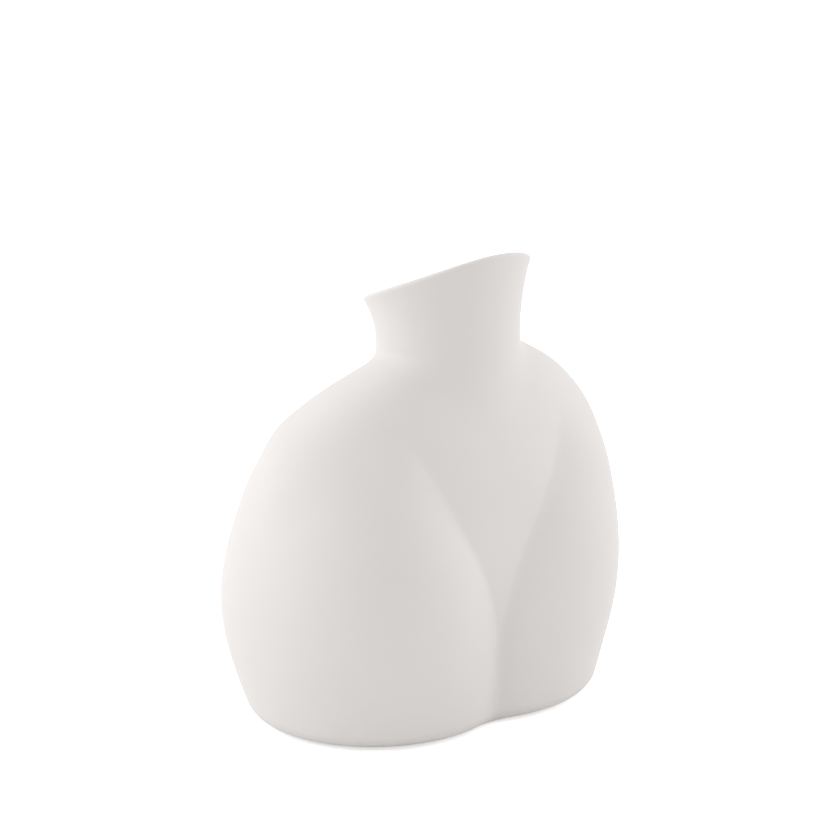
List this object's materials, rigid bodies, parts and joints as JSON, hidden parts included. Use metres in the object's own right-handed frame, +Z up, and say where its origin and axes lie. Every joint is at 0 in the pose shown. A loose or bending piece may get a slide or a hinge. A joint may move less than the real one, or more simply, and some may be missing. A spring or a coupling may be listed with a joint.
{
  "type": "vase",
  "caption": "Plump ceramic vase with two lobes that meet a tapering chest in a V, a short flared neck and a slanted rim.",
  "frame": {"origin": "on the table under the middle of the vase's width and depth, level with the pads' undersides", "axes": "+Z up, +X to the right of someone who looks at the V, so the V faces -Y"},
  "size_m": [0.2756, 0.188, 0.3105],
  "materials": {
    "bisque": "matt, dry, slightly grainy fired clay",
    "pad": "matt grey rubber"
  },
  "bodies": {
    "root": {"front_shell": "bisque", "rear_shell": "bisque", "base_slab": "bisque", "neck_collar": "bisque", "pad_front_left": "pad", "pad_front_right": "pad", "pad_rear_left": "pad", "pad_rear_right": "pad"}
  },
  "joints": []
}
